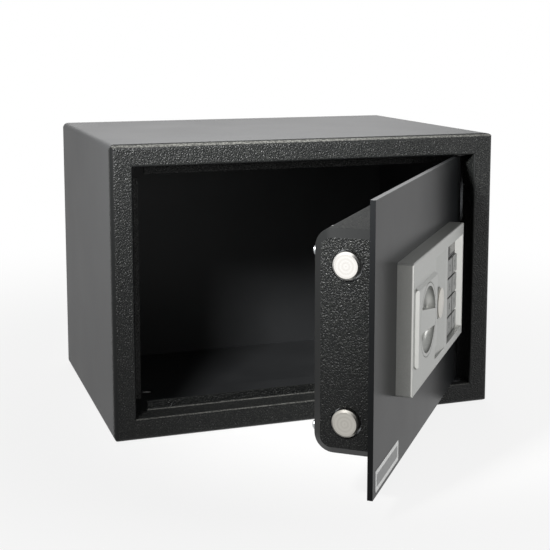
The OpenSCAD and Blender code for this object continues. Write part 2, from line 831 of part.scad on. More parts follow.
module indicator_lamps() {
    lamp_r = 1.5;
    color("#b8e0b0") hung() on_panel() for (x = [-15, 0, 15])
        translate([pad_a + pad_w/2 + x, window_b, board_top]) {
            cylinder(r = lamp_r, h = frame_base - board_top - lamp_r - 0.3);
            translate([0, 0, frame_base - board_top - lamp_r - 0.3]) intersection() {
                sphere(lamp_r);
                cylinder(r = lamp_r + 1, h = lamp_r);
            }
        }
}

module control_board() {
    color("#1f5a38") hung() on_panel() translate([board_left, pad_b - 1.2, board_base])
        cube([pad_a + pad_w + 4.2 - board_left, pad_h + 2.4, board_t]);
}

module key_switches() {
    color(plastic_black) hung() on_panel() key_places() translate([0, 0, board_top]) difference() {
        translate([-3, -3, 0]) cube([6, 6, switch_h]);
        translate([0, 0, -1]) cylinder(r = stem_r + 0.1, h = switch_h + 2);
    }
}

// A key: cap, retaining skirt under the grid and stem in its switch
module key_body(row, column) {
    a = keys_a0 + column*key_pitch_x;
    b = keys_b0 + (3 - row)*key_pitch_z;
    color("#6f6e6d") hung() on_panel() translate([a, b, skirt_base]) {
        linear_extrude(pad_floor + key_rise - skirt_base) rounded_rect(key_w, key_h, 1);
        linear_extrude(skirt_t) square([key_w + 2*skirt_rim, key_h + 2*skirt_rim], center = true);
        translate([0, 0, stem_base - skirt_base]) cylinder(r = stem_r, h = skirt_base - stem_base + 0.5);
    }
}

module lock_barrel() {
    color(zinc) hung() on_panel() translate([lock_a, lock_b, 0]) difference() {
        union() {
            translate([0, 0, barrel_rear]) cylinder(d = barrel_d, h = barrel_front - barrel_rear);
            cylinder(r = barrel_d/2 + barrel_flange, h = 2);
        }
        translate([0, 0, barrel_rear - 1])
            cylinder(r = plug_d/2 + run_clear, h = barrel_front - barrel_rear + 2);
    }
}

module lock_nut() {
    color(nickel) hung() on_panel() translate([lock_a, lock_b, -door_t - nut_t]) difference() {
        cylinder(d = barrel_d + 9, h = nut_t, $fn = 6);
        translate([0, 0, -1]) cylinder(d = barrel_d + 2*run_clear, h = nut_t + 2);
    }
}

// Domed cap that covers the keyway, clipped into the panel
module override_cap() {
    edge = 1;
    dome_r = ((cap_d/2)*(cap_d/2) + (cap_rise - edge)*(cap_rise - edge))/(2*(cap_rise - edge));
    color(nickel) hung() on_panel() translate([lock_a, lock_b, panel_t]) {
        rotate_extrude() intersection() {
            square([cap_d/2, cap_rise]);
            translate([0, cap_rise - dome_r]) circle(dome_r, $fn = 4*$fn);
        }
        translate([0, 0, -3]) difference() {
            cylinder(r = barrel_d/2 + 0.9, h = 3.5);
            translate([0, 0, -1]) cylinder(r = barrel_d/2 - 0.5, h = 4);
        }
    }
}

module lock_plug() {
    color(brass) hung() on_panel() translate([lock_a, lock_b, 0]) difference() {
        translate([0, 0, lever_rear]) cylinder(d = plug_d, h = barrel_front - 0.1 - lever_rear);
        translate([-0.9, -3.2, barrel_front - 6]) cube([1.8, 6.4, 8]);
    }
}

// Lever on the plug's tail, hanging down while the lock is at rest
module lock_lever() {
    color(zinc) hung() on_panel() translate([lock_a, lock_b, lever_rear])
        linear_extrude(lever_t) difference() {
            union() {
                circle(plug_d/2 + 3);
                translate([-4, -lever_len + 4]) square([8, lever_len - 4]);
                translate([0, -lever_len + 4]) circle(4);
            }
            circle(plug_d/2 + run_clear);
        }
}

module battery_box() {
    color(plastic_black) hung() translate([box_x, tray_floor_y, mid_z]) difference() {
        union() {
            translate([-box_w/2 + 0.1, -box_depth, -box_h/2 + 0.1])
                cube([box_w - 0.2, box_depth + tray_t, box_h - 0.2]);
            translate([-box_w/2 - rim_w, tray_t, -box_h/2 - rim_w])
                cube([box_w + 2*rim_w, rim_t, box_h + 2*rim_w]);
        }
        translate([-box_w/2 + box_wall, -box_depth + box_wall, -box_h/2 + box_wall])
            cube([box_w - 2*box_wall, box_depth + 10, box_h - 2*box_wall]);
    }
}

module cell_places() {
    for (i = [0:3]) translate([box_x + (i - 1.5)*cell_pitch, cell_y, mid_z])
        mirror([0, 0, i % 2]) children();
}

module battery_cells() {
    color("#4a4a4c") hung() cell_places() translate([0, 0, -cell_len/2]) {
        cylinder(d = cell_d, h = cell_len - 1.2);
        cylinder(d = 5.4, h = cell_len);
    }
}

// Spring ends and tabs at the two ends of the cells
module battery_contacts() {
    end_z = box_h/2 - box_wall;
    color(nickel) hung() cell_places() {
        translate([-4, -4, cell_len/2]) cube([8, 8, end_z - cell_len/2]);
        translate([0, 0, -end_z]) cylinder(d1 = 9, d2 = 6, h = end_z - cell_len/2);
    }
}

module battery_cover() {
    cover_w = box_w - 2*box_wall - 0.6;
    cover_h = box_h - 2*box_wall - 0.6;
    cover_y = tray_rear_y + rim_t - cover_t;
    color(plastic_black) hung() difference() {
        translate([box_x - cover_w/2, cover_y, mid_z - cover_h/2]) cube([cover_w, cover_t, cover_h]);
        for (i = [0:3]) translate([box_x - 10, cover_y + cover_t - 0.8, mid_z + cover_h/2 - 8 - i*3])
            cube([20, 1, 1.4]);
    }
}

module reset_switch() {
    color(plastic_black) hung() translate([tray_x1 - tray_t, button_y, button_z]) difference() {
        union() {
            translate([-switch_size - 3, -switch_size/2, -switch_size/2]) cube(switch_size);
            translate([-3, 0, 0]) rotate([0, 90, 0]) cylinder(d = button_d + 3, h = 3);
        }
        translate([-switch_size, 0, 0]) rotate([0, 90, 0])
            cylinder(r = button_d/2 + 0.1, h = switch_size + 1);
    }
}

module reset_button() {
    color("#b3261e") hung() translate([tray_x1 + button_proud, button_y, button_z]) rotate([0, -90, 0])
        cylinder(d = button_d, h = button_proud + tray_t + switch_size - button_travel - 0.5);
}

// Carriage: a flange that carries the bolts, an upright and an arm for the cam, with its guide slots
module bolt_carriage() {
    color(zinc) hung() difference() {
        union() {
            translate([bolt_x1, bolt_y - bolt_d/2, mid_z - carriage_h/2])
                cube([carriage_t, bolt_d, carriage_h]);
            translate([0, web_rear_y, 0]) rotate([90, 0, 0]) linear_extrude(carriage_t) difference() {
                union() {
                    translate([bolt_x1, mid_z - carriage_h/2]) square([carriage_w, carriage_h]);
                    translate([bolt_x1, arm_bottom_z]) square([arm_x1 - bolt_x1, arm_h]);
                }
                for (s = [-1, 1]) translate([upright_post_x, mid_z + s*upright_post_z])
                    slot(-0.3, bolt_travel + 0.3, post_d + 2*slot_clear);
                translate([arm_post_x, arm_post_z])
                    slot(-0.3, bolt_travel + 0.3, post_d + 2*slot_clear);
                translate([drive_x, drive_z]) rotate(90)
                    slot(-0.3, drive_z1 - drive_z + 0.3, drive_pin_d + 1);
            }
        }
        for (s = [-1, 1]) translate([bolt_x1 - 1, bolt_y, mid_z + s*bolt_pitch/2]) rotate([0, 90, 0])
            cylinder(r = bolt_screw_d/2 + run_clear, h = carriage_t + 2);
    }
}

module locking_bolt(side) {
    color(nickel) hung() translate([bolt_x0, bolt_y, mid_z + side*bolt_pitch/2]) rotate([0, 90, 0])
        difference() {
            union() {
                cylinder(r1 = bolt_d/2 - bolt_chamfer, r2 = bolt_d/2, h = bolt_chamfer);
                translate([0, 0, bolt_chamfer]) cylinder(d = bolt_d, h = bolt_len - bolt_chamfer);
            }
            translate([0, 0, bolt_len - 14]) cylinder(r = bolt_screw_d/2 + run_clear, h = 15);
        }
}

module bolt_screws() {
    color(zinc) hung() for (s = [-1, 1])
        translate([bolt_x1 - 12, bolt_y, mid_z + s*bolt_pitch/2]) rotate([0, 90, 0]) {
            cylinder(d = bolt_screw_d, h = 12 + carriage_t);
            translate([0, 0, 12 + carriage_t]) difference() {
                cylinder(d = bolt_screw_d*1.65, h = bolt_screw_d);
                translate([0, 0, bolt_screw_d/2])
                    cylinder(d = bolt_screw_d*0.9, h = bolt_screw_d, $fn = 6);
            }
        }
}

// Two finger scoops with a tapered grip left between them
module finger_scoops() {
    fillet = scoop_depth;
    floor_r = knob_d/2 - 2.5 - fillet;
    reach = knob_d/2;
    wide = grip_wide/2;
    narrow = grip_narrow/2;
    difference() {
        translate([0, 0, field_top]) rotate_extrude() {
            translate([0, -scoop_depth]) square([floor_r, scoop_depth + 1]);
            translate([floor_r, 0]) circle(fillet);
        }
        rotate(-grip_tilt) translate([0, 0, knob_base]) linear_extrude(field_top - knob_base)
            polygon([[-reach, -wide], [reach, -narrow], [reach, narrow], [-reach, wide]]);
    }
}

module knob() {
    color(silver) hung() on_panel() translate([knob_a, knob_b, 0]) difference() {
        union() {
            translate([0, 0, knob_base]) cylinder(d = knob_d, h = field_top - knob_base);
            translate([0, 0, 0.5]) cylinder(r = spindle_d/2 + 3, h = knob_base);
        }
        finger_scoops();
        translate([0, 0, -1]) cylinder(r = spindle_d/2 + run_clear, h = field_top - 3);
    }
}

module spindle() {
    color(zinc) hung() difference() {
        shaft_y(knob_x, face_y - field_top + 4.5, cam_rear_y, mid_z, spindle_d/2);
        shaft_y(knob_x, cam_rear_y - 8, cam_rear_y + 1, mid_z, 2 + run_clear);
    }
}

// Cam: hub, short arm and the pin that drives the carriage
module cam() {
    color(zinc) hung() {
        translate([0, cam_rear_y, 0]) rotate([90, 0, 0]) linear_extrude(cam_t) difference() {
            union() {
                translate([knob_x, mid_z]) circle(spindle_d/2 + 4);
                translate([knob_x, mid_z]) rotate(45) translate([0, -4]) square([cam_r, 8]);
                translate([drive_x, drive_z]) circle(drive_pin_d/2 + 2.5);
            }
            translate([knob_x, mid_z]) circle(spindle_d/2 + run_clear);
        }
        shaft_y(drive_x, cam_rear_y - 1, web_rear_y + 2, drive_z, drive_pin_d/2);
    }
}

module cam_screw() {
    color(nickel) hung() translate([knob_x, cam_rear_y - 7, mid_z]) rotate([-90, 0, 0])
        pan_screw(4, 7, 10.5, 2.2);
}

module solenoid_plunger() {
    color(nickel) hung() translate([latch_x, coil_y, 0]) {
        translate([0, 0, solenoid_bottom + frame_t + 6.5])
            cylinder(d = plunger_d, h = plunger_top - solenoid_bottom - frame_t - 7.5);
        translate([0, 0, plunger_top - 1]) cylinder(d1 = plunger_d, d2 = plunger_d - 2, h = 1);
        translate([0, 0, collar_z]) cylinder(d = plunger_d + 3, h = 1.5);
    }
}

function helix(t, r, turns, h) = [r*cos(360*turns*t), r*sin(360*turns*t), h*t];

// Return spring: one unbroken wire, swept ring by ring
module plunger_spring() {
    steps = 8*spring_turns;
    sides = 6;
    wire_r = spring_wire/2;
    coil_r = plunger_d/2 + 0.5 + wire_r;
    height = collar_z - solenoid_top - spring_wire;
    last = steps*sides;
    rings = [for (i = [0:steps], k = [0:sides - 1])
        let (t = i/steps, a = 360*spring_turns*t, b = 360*k/sides)
        helix(t, coil_r, spring_turns, height) + wire_r*[cos(b)*cos(a), cos(b)*sin(a), sin(b)]];
    walls = [for (i = [0:steps - 1], k = [0:sides - 1])
        let (p = i*sides + k, q = i*sides + (k + 1) % sides)
        each [[p, q, q + sides], [p, q + sides, p + sides]]];
    ends = [for (k = [1:sides - 2]) each [[0, k + 1, k], [last, last + k, last + k + 1]]];
    color(nickel) hung() translate([latch_x, coil_y, solenoid_top + wire_r])
        polyhedron(points = rings, faces = [for (f = concat(walls, ends)) [f[0], f[2], f[1]]]);
}

cabinet_shell();
back_panel();
front_frame();
door_stops();
hinge_brackets();
hinge_bushes();
door_plate();
hinge_pins();
door_tray();
tray_screws();
tray_posts();
bolt_guides();
guide_posts();
spindle_bush();
solenoid_frame();
solenoid_coil();
panel_shell();
panel_screws();
keypad_frame();
indicator_window();
indicator_lamps();
control_board();
key_switches();
lock_barrel();
lock_nut();
override_cap();
battery_box();
battery_cells();
battery_contacts();
battery_cover();
reset_switch();
bolt_carriage();
locking_bolt(1);  // upper_bolt
locking_bolt(-1);  // lower_bolt
bolt_screws();
knob();
spindle();
cam();
cam_screw();
solenoid_plunger();
plunger_spring();
lock_plug();
lock_lever();
reset_button();
key_body(0, 0);  // key_1
key_body(0, 1);  // key_2
key_body(0, 2);  // key_3
key_body(1, 0);  // key_4
key_body(1, 1);  // key_5
key_body(1, 2);  // key_6
key_body(2, 0);  // key_7
key_body(2, 1);  // key_8
key_body(2, 2);  // key_9
key_body(3, 0);  // key_star
key_body(3, 1);  // key_0
key_body(3, 2);  // key_hash
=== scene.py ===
import json
import math

import bpy
from mathutils import Matrix, Vector


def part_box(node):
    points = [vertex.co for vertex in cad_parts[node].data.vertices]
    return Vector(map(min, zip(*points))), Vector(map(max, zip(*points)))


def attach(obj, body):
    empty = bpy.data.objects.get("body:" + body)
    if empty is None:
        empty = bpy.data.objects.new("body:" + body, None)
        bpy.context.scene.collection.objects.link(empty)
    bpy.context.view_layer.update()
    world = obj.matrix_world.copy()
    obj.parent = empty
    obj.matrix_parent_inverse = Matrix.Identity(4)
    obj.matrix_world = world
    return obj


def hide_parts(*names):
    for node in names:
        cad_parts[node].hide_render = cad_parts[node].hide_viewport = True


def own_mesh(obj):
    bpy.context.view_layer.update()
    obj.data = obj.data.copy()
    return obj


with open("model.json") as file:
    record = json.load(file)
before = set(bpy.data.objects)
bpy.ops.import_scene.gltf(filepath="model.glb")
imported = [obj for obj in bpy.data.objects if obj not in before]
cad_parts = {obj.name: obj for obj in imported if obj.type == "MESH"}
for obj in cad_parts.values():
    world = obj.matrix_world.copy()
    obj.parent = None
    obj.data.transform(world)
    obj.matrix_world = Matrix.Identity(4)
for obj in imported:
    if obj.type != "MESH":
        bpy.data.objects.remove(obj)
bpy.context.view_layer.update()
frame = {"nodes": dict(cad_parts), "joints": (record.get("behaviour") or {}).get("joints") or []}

nodes = frame["nodes"]
joints = {joint["name"]: joint for joint in frame["joints"]}

# The door's own directions: along its width, out of its face, and up.
hingePlace = Vector(joints["door_hinge"]["pos_m"])
openAngle = math.radians(-joints["door_hinge"]["range_deg"][0])
alongDoor = Vector((math.cos(openAngle), math.sin(openAngle), 0.0))
outOfDoor = Vector((math.sin(openAngle), -math.cos(openAngle), 0.0))
upwards = Vector((0.0, 0.0, 1.0))
doorTurn = Matrix((alongDoor, upwards, outOfDoor)).transposed().to_4x4()


def doorDirection(along, out):
    return (along * alongDoor + out * outOfDoor).normalized()


def inMetres(millimetres):
    return millimetres / 1000


def addObject(name, data):
    newObject = bpy.data.objects.new(name, data)
    bpy.context.collection.objects.link(newObject)
    return newObject


# Camera: stands to the left of the safe and looks a little down on it.
cameraSettings = {
    "place": (-0.3459, -1.036, 0.3387),
    "turn": 18.908,  # degrees to the right of straight ahead
    "tilt": -7.335,  # degrees from level
    "lens": 74.78,  # mm
    "sensor": 36.0,  # mm
    "shift": -0.17,  # share of the picture's width
}


def placeCamera(settings):
    data = bpy.data.cameras.new("camera")
    data.lens = settings["lens"]
    data.sensor_width = settings["sensor"]
    data.shift_y = settings["shift"]
    camera = addObject("camera", data)
    camera.location = settings["place"]
    camera.rotation_euler = (math.radians(90 + settings["tilt"]), 0, math.radians(-settings["turn"]))
    bpy.context.scene.camera = camera


placeCamera(cameraSettings)
print("camera placed")


# Small tools for materials. Looks give sizes in millimetres and colours as sRGB hex codes.
waveTurn = 20  # radians per metre that Blender's wave texture turns through at scale 1


def linearColour(hexCode):
    channels = [int(hexCode[i:i + 2], 16) / 255 for i in (1, 3, 5)]
    linear = [c / 12.92 if c <= 0.04045 else ((c + 0.055) / 1.055) ** 2.4 for c in channels]
    return (*linear, 1.0)


def perMetre(millimetres):
    return 1000 / millimetres


def waveScale(millimetres):
    return perMetre(millimetres) * math.tau / waveTurn


# A setting goes to the socket of that name or number, or else to the node itself; links go to sockets.
def addNode(tree, kind, settings=None, links=None):
    node = tree.nodes.new(kind)
    for name, value in (settings or {}).items():
        if name == "stops":
            elements = node.color_ramp.elements
            while len(elements) < len(value):
                elements.new(0.5)  # its place is set below
            for element, (position, hexCode) in zip(elements, value):
                element.position = position
                element.color = linearColour(hexCode)
        elif isinstance(name, int) or name in node.inputs:
            node.inputs[name].default_value = value
        else:
            setattr(node, name, value)
    for name, source in (links or {}).items():
        tree.links.new(source, node.inputs[name])
    return node


def startMaterial(name):
    material = bpy.data.materials.new(name)
    material.use_nodes = True
    tree = material.node_tree
    tree.nodes.clear()
    return material, tree, addNode(tree, "ShaderNodeTexCoord")


def finishMaterial(tree, look, links):
    shader = addNode(tree, "ShaderNodeBsdfPrincipled", look["shader"], links)
    addNode(tree, "ShaderNodeOutputMaterial", links={"Surface": shader.outputs["BSDF"]})


# Most finishes here are one fine pattern: the colour runs between two shades of it, and the gloss
# follows. Its relief is the height of the finest marks.
darkestAt, lightestAt = 0.3, 0.7  # of the pattern's run from 0 to 1


def patternedSurface(tree, pattern, look, relief=None, highlightMask=None):
    shades = addNode(tree, "ShaderNodeValToRGB",
                     {"stops": [(darkestAt, look["dark"]), (lightestAt, look["light"])]},
                     {"Fac": pattern})
    colour = shades.outputs["Color"]
    # Where a highlight mask is given, a paler colour is mixed in there as a painted highlight.
    if highlightMask:
        highlightColour = addNode(tree, "ShaderNodeMix", {"data_type": "RGBA", 7: linearColour(look["highlightColour"])},
                       {0: highlightMask, 6: colour})
        colour = highlightColour.outputs[2]
    gloss = addNode(tree, "ShaderNodeMapRange",
                    {"To Min": look["roughness"] - look["glossDrift"],
                     "To Max": look["roughness"] + look["glossDrift"]},
                    {"Value": pattern})
    links = {"Base Color": colour, "Roughness": gloss.outputs["Result"]}
    if relief:
        bump = addNode(tree, "ShaderNodeBump",
                       {"Strength": look["relief"], "Distance": inMetres(look["depth"])},
                       {"Height": relief})
        links["Normal"] = bump.outputs["Normal"]
    finishMaterial(tree, look, links)


# How squarely a surface faces one of three directions: 1 on a flat face, 0 on a bevel or a rolled edge.
def flatFaces(tree, coordinates, axes, reach):
    faces = None
    for axis in axes:
        along = addNode(tree, "ShaderNodeVectorMath", {"operation": "DOT_PRODUCT", 1: axis},
                        {0: coordinates.outputs["Normal"]})
        size = addNode(tree, "ShaderNodeMath", {"operation": "ABSOLUTE"}, {0: along.outputs["Value"]})
        if faces:
            size = addNode(tree, "ShaderNodeMath", {"operation": "MAXIMUM"},
                           {0: faces.outputs["Value"], 1: size.outputs["Value"]})
        faces = size
    flatness = addNode(tree, "ShaderNodeMapRange", reach, {"Value": faces.outputs["Value"]})
    return flatness.outputs["Result"]


# Polyester powder coat, wrinkle finish, sprayed and baked: short worms of coat with glinting crests.
# On flat faces the crests are painted paler, a painted highlight for their glints.
# It thins on bevels and rolled edges, which stay dark and smooth, and is dustier where it looks up.
# One sharp bend has a painted highlight, a paler line on the wrinkles' heights: the frame's, which faces
# forward and up, or the tray's rear edge.
# Real wrinkles are about 1 mm apart and drawn a little coarser, so that they show.
wrinkleCoat = {
    "dark": "#0f1010",
    # painted highlight: the crests' paler colour stands for their glints
    "crest": "#252624",
    # painted highlight: the paler colour of a line along one bend
    "bendHighlight": "#4c4c49",
    "wrinkle": 1.3,  # mm between crests
    "depth": 1.4,  # mm, drawn deep so that the crests glint
    "patch": 26,  # mm across a patch of deeper wrinkles
    "patchDepth": {"To Min": 0.7, "To Max": 1.0},  # share of the depth
    "crests": {"From Min": 0.5, "From Max": 0.72},  # heights between which dark turns to crest
    "flat": {"From Min": 0.88, "From Max": 0.995},  # how squarely a face lies, from smooth to wrinkled
    "bend": {"From Min": 0.94, "From Max": 0.985},  # how nearly a face lies along the bend with the painted highlight
    "spots": {"From Min": 0.4, "From Max": 0.6, "To Min": 0.3},  # the painted highlight is strongest on the heights
    "dust": {"From Min": 0.6, "From Max": 0.95,  # how far a face looks up
             "To Min": 0.36, "To Max": 0.8},  # roughness from clean to dusty
    "shader": {"IOR": 1.5, "Specular IOR Level": 0.16},
}


def sprayedWrinkleCoat(name, look, axes, highlightedBend):
    material, tree, coordinates = startMaterial(name)
    place = coordinates.outputs["Object"]
    worms = addNode(tree, "ShaderNodeTexNoise",
                    {"Scale": perMetre(look["wrinkle"]), "Detail": 1.0, "Distortion": 0.4},
                    {"Vector": place})
    crests = addNode(tree, "ShaderNodeMapRange", look["crests"], {"Value": worms.outputs["Fac"]})
    flat = flatFaces(tree, coordinates, axes, look["flat"])
    # The crests are painted paler on flat faces, a painted highlight for their glints.
    paintedCrestGlint = addNode(tree, "ShaderNodeMath", {"operation": "MULTIPLY"},
                    {0: crests.outputs["Result"], 1: flat})
    colour = addNode(tree, "ShaderNodeMix",
                     {"data_type": "RGBA", 6: linearColour(look["dark"]),
                      7: linearColour(look["crest"])},
                     {0: paintedCrestGlint.outputs["Value"]})
    # A painted highlight: the bend's faces are painted paler on the heights of the wrinkles.
    towardsBend = addNode(tree, "ShaderNodeVectorMath", {"operation": "DOT_PRODUCT", 1: highlightedBend},
                          {0: coordinates.outputs["Normal"]})
    bend = addNode(tree, "ShaderNodeMapRange", look["bend"], {"Value": towardsBend.outputs["Value"]})
    spots = addNode(tree, "ShaderNodeMapRange", look["spots"], {"Value": worms.outputs["Fac"]})
    bendGlint = addNode(tree, "ShaderNodeMath", {"operation": "MULTIPLY"},
                  {0: bend.outputs["Result"], 1: spots.outputs["Result"]})
    bendHighlight = addNode(tree, "ShaderNodeMix", {"data_type": "RGBA", 7: linearColour(look["bendHighlight"])},
                     {0: bendGlint.outputs["Value"], 6: colour.outputs[2]})
    looksUp = addNode(tree, "ShaderNodeSeparateXYZ", links={"Vector": coordinates.outputs["Normal"]})
    dust = addNode(tree, "ShaderNodeMapRange", look["dust"], {"Value": looksUp.outputs["Z"]})
    patches = addNode(tree, "ShaderNodeTexNoise", {"Scale": perMetre(look["patch"]), "Detail": 3.0},
                      {"Vector": place})
    strength = addNode(tree, "ShaderNodeMapRange", look["patchDepth"], {"Value": patches.outputs["Fac"]})
    wrinkled = addNode(tree, "ShaderNodeMath", {"operation": "MULTIPLY"},
                       {0: strength.outputs["Result"], 1: flat})
    bump = addNode(tree, "ShaderNodeBump", {"Distance": inMetres(look["depth"])},
                   {"Height": worms.outputs["Fac"], "Strength": wrinkled.outputs["Value"]})
    finishMaterial(tree, look, {"Base Color": bendHighlight.outputs[2], "Roughness": dust.outputs["Result"],
                                "Normal": bump.outputs["Normal"]})
    return material


# The same powder coat sprayed smooth on the outside: an even dark satin with a faint orange peel.
satinCoat = {"dark": "#1a1b1c", "light": "#202122", "peel": 2.4, "depth": 0.02, "relief": 1.0,
             "patch": 60, "roughness": 0.52, "glossDrift": 0.04,
             "shader": {"IOR": 1.5, "Specular IOR Level": 0.36}}
doorCoat = dict(satinCoat, dark="#141516", light="#191a1b", peel=1.6, depth=0.012, roughness=0.3,
                shader={"IOR": 1.5, "Specular IOR Level": 0.08})


def sprayedSatinCoat(name, look):
    material, tree, coordinates = startMaterial(name)
    place = coordinates.outputs["Object"]
    peel = addNode(tree, "ShaderNodeTexNoise", {"Scale": perMetre(look["peel"]), "Detail": 2.0},
                   {"Vector": place})
    patches = addNode(tree, "ShaderNodeTexNoise", {"Scale": perMetre(look["patch"]), "Detail": 4.0},
                      {"Vector": place})
    patternedSurface(tree, patches.outputs["Fac"], look, peel.outputs["Fac"])
    return material


# Bare metals. Steel, bright zinc plated: cool grey with the faint cloudiness of the plating bath.
# Brass, machined: yellow and a little tarnished. Both have a fine grain from rolling or turning.
# The grain is about 0.2 mm wide on the real ones and drawn 0.5 mm wide, so that it shows.
zincPlate = {"dark": "#9a9da0", "light": "#c4c7c9", "cloud": 7, "grain": 0.5, "depth": 0.02,
             "relief": 0.4, "roughness": 0.32, "glossDrift": 0.08, "shader": {"Metallic": 1.0}}
machinedBrass = dict(zincPlate, dark="#a98442", light="#cfa75c", cloud=5, roughness=0.28)


def grainedMetal(name, look):
    material, tree, coordinates = startMaterial(name)
    place = coordinates.outputs["Object"]
    clouds = addNode(tree, "ShaderNodeTexNoise", {"Scale": perMetre(look["cloud"]), "Detail": 4.0},
                     {"Vector": place})
    grain = addNode(tree, "ShaderNodeTexNoise", {"Scale": perMetre(look["grain"]), "Detail": 1.0},
                    {"Vector": place})
    patternedSurface(tree, clouds.outputs["Fac"], look, grain.outputs["Fac"])
    return material


# Steel, turned and nickel plated: warm white metal with the fine rings of the lathe on its ends.
# The rings are 0.25 mm apart on the real one and drawn 2.6 mm apart, so that they show.
# The lower bolt is painted darker, a painted reflection of the floor near it; the cap has that copy too.
turnedNickel = {"dark": "#f1eee9", "light": "#f6f4f0", "ring": 2.6, "depth": 0.002, "relief": 0.3,
                "roughness": 0.24, "glossDrift": 0.02, "shader": {"Metallic": 1.0}}
darkerNickel = dict(turnedNickel, dark="#b2afa8", light="#bab7b0", roughness=0.32)


def turnedNickelPlate(name, look, node, axis):
    low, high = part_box(node)
    material, tree, coordinates = startMaterial(name)
    turn = axis.to_track_quat("Z", "Y").inverted().to_euler()
    moved = addNode(tree, "ShaderNodeVectorMath", {"operation": "SUBTRACT", 1: (low + high) / 2},
                    {0: coordinates.outputs["Object"]})
    turned = addNode(tree, "ShaderNodeVectorRotate", {"rotation_type": "EULER_XYZ", "Rotation": turn},
                     {"Vector": moved.outputs["Vector"]})
    rings = addNode(tree, "ShaderNodeTexWave",
                    {"wave_type": "RINGS", "rings_direction": "Z", "Scale": waveScale(look["ring"]),
                     "Distortion": 0.4, "Detail": 1.0, "Detail Scale": 2.0},
                    {"Vector": turned.outputs["Vector"]})
    patternedSurface(tree, rings.outputs["Fac"], look, rings.outputs["Fac"])
    return material


# ABS, moulded and sprayed silver: fine metal flakes in a satin coat, which brightens at a glancing view.
# Slopes and rounded edges towards the door's free side get a painted highlight: their colour is paler.
# The flakes are under 0.1 mm wide on the real one and drawn 0.45 mm wide, so that they show.
sprayedSilver = {
    "dark": "#8e8f8c",
    "light": "#9a9b98",
    # painted highlight: the paler colour of slopes and edges that face along and out of the door
    "highlightColour": "#cfcfcb",
    "highlightSlope": (-0.87, 0.5),  # where it faces: along the door and out of it
    "highlightMask": {"From Min": 0.8, "From Max": 0.985},  # how nearly a face lies along that slope
    "flake": 0.45,
    "depth": 0.01,
    "relief": 0.5,
    "roughness": 0.33,
    "glossDrift": 0.04,
    "shader": {"Metallic": 0.55, "IOR": 1.5},
}


def silverSprayedPlastic(name, look):
    material, tree, coordinates = startMaterial(name)
    flakes = addNode(tree, "ShaderNodeTexVoronoi", {"Scale": perMetre(look["flake"])},
                     {"Vector": coordinates.outputs["Object"]})
    shine = addNode(tree, "ShaderNodeSeparateColor", links={"Color": flakes.outputs["Color"]})
    # A painted highlight on the faces that look along the highlight slope.
    along = addNode(tree, "ShaderNodeVectorMath",
                    {"operation": "DOT_PRODUCT", 1: doorDirection(*look["highlightSlope"])},
                    {0: coordinates.outputs["Normal"]})
    highlightMask = addNode(tree, "ShaderNodeMapRange", look["highlightMask"], {"Value": along.outputs["Value"]})
    patternedSurface(tree, shine.outputs["Red"], look, shine.outputs["Red"], highlightMask.outputs["Result"])
    return material


# Mouldings of ABS from a spark-eroded tool: an even, finely pitted plastic.
# The pits are about 0.15 mm wide and drawn two or three times as wide, so that they show.
greyPlastic = {"dark": "#636462", "light": "#6f706e", "pit": 0.35, "depth": 0.02, "relief": 0.5,
               "roughness": 0.42, "glossDrift": 0.05, "shader": {"IOR": 1.53}}
blackPlastic = dict(greyPlastic, dark="#141415", light="#1c1c1d", pit=0.5, depth=0.03, roughness=0.5)
redPlastic = dict(greyPlastic, dark="#a3191a", light="#b52220", roughness=0.35)
# Vinyl, printed: flat, even tones with a faint shine, for the label's pale foil and blank dark field.
paleFoil = dict(greyPlastic, dark="#c2c3c2", light="#cdcecd", pit=0.8, depth=0.006, roughness=0.36)
darkField = dict(paleFoil, dark="#5d5e5e", light="#686969")
# Ink, printed in a thin raised film: the near-black matt numbers of the keys.
darkInk = dict(greyPlastic, dark="#1d1e1e", light="#262727", pit=0.3, depth=0.004, roughness=0.5)


def erodedPlastic(name, look):
    material, tree, coordinates = startMaterial(name)
    pits = addNode(tree, "ShaderNodeTexNoise", {"Scale": perMetre(look["pit"]), "Detail": 2.0},
                   {"Vector": coordinates.outputs["Object"]})
    patternedSurface(tree, pits.outputs["Fac"], look, pits.outputs["Fac"])
    return material


# Acrylic, smoked and polished: a near-black window that shows a soft shine.
smokedWindow = {"dark": "#171214", "light": "#201a1c", "haze": 9, "roughness": 0.14, "glossDrift": 0.04,
                "shader": {"IOR": 1.49, "Transmission Weight": 0.35, "Coat Weight": 0.3,
                           "Coat Roughness": 0.08}}


def smokedAcrylic(name, look):
    material, tree, coordinates = startMaterial(name)
    haze = addNode(tree, "ShaderNodeTexNoise", {"Scale": perMetre(look["haze"]), "Detail": 3.0},
                   {"Vector": coordinates.outputs["Object"]})
    patternedSurface(tree, haze.outputs["Fac"], look)
    return material


# Epoxy, cast: the clear, glossy and tinted lens of each lamp, one colour after the other along the row.
lampLenses = {"stops": [(0.0, "#8f2a22"), (0.36, "#b8862b"), (0.66, "#2f7d3c")],
              "shader": {"IOR": 1.54, "Roughness": 0.18, "Transmission Weight": 0.4}}


def castEpoxy(name, look):
    material, tree, coordinates = startMaterial(name)
    low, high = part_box("indicator_lamps")
    run = addNode(tree, "ShaderNodeVectorMath", {"operation": "DOT_PRODUCT", 1: alongDoor},
                  {0: coordinates.outputs["Object"]})
    row = addNode(tree, "ShaderNodeMapRange",
                  {"From Min": low.dot(alongDoor), "From Max": high.dot(alongDoor)},
                  {"Value": run.outputs["Value"]})
    colour = addNode(tree, "ShaderNodeValToRGB", {"stops": look["stops"]},
                     {"Fac": row.outputs["Result"]})
    finishMaterial(tree, look, {"Base Color": colour.outputs["Color"]})
    return material


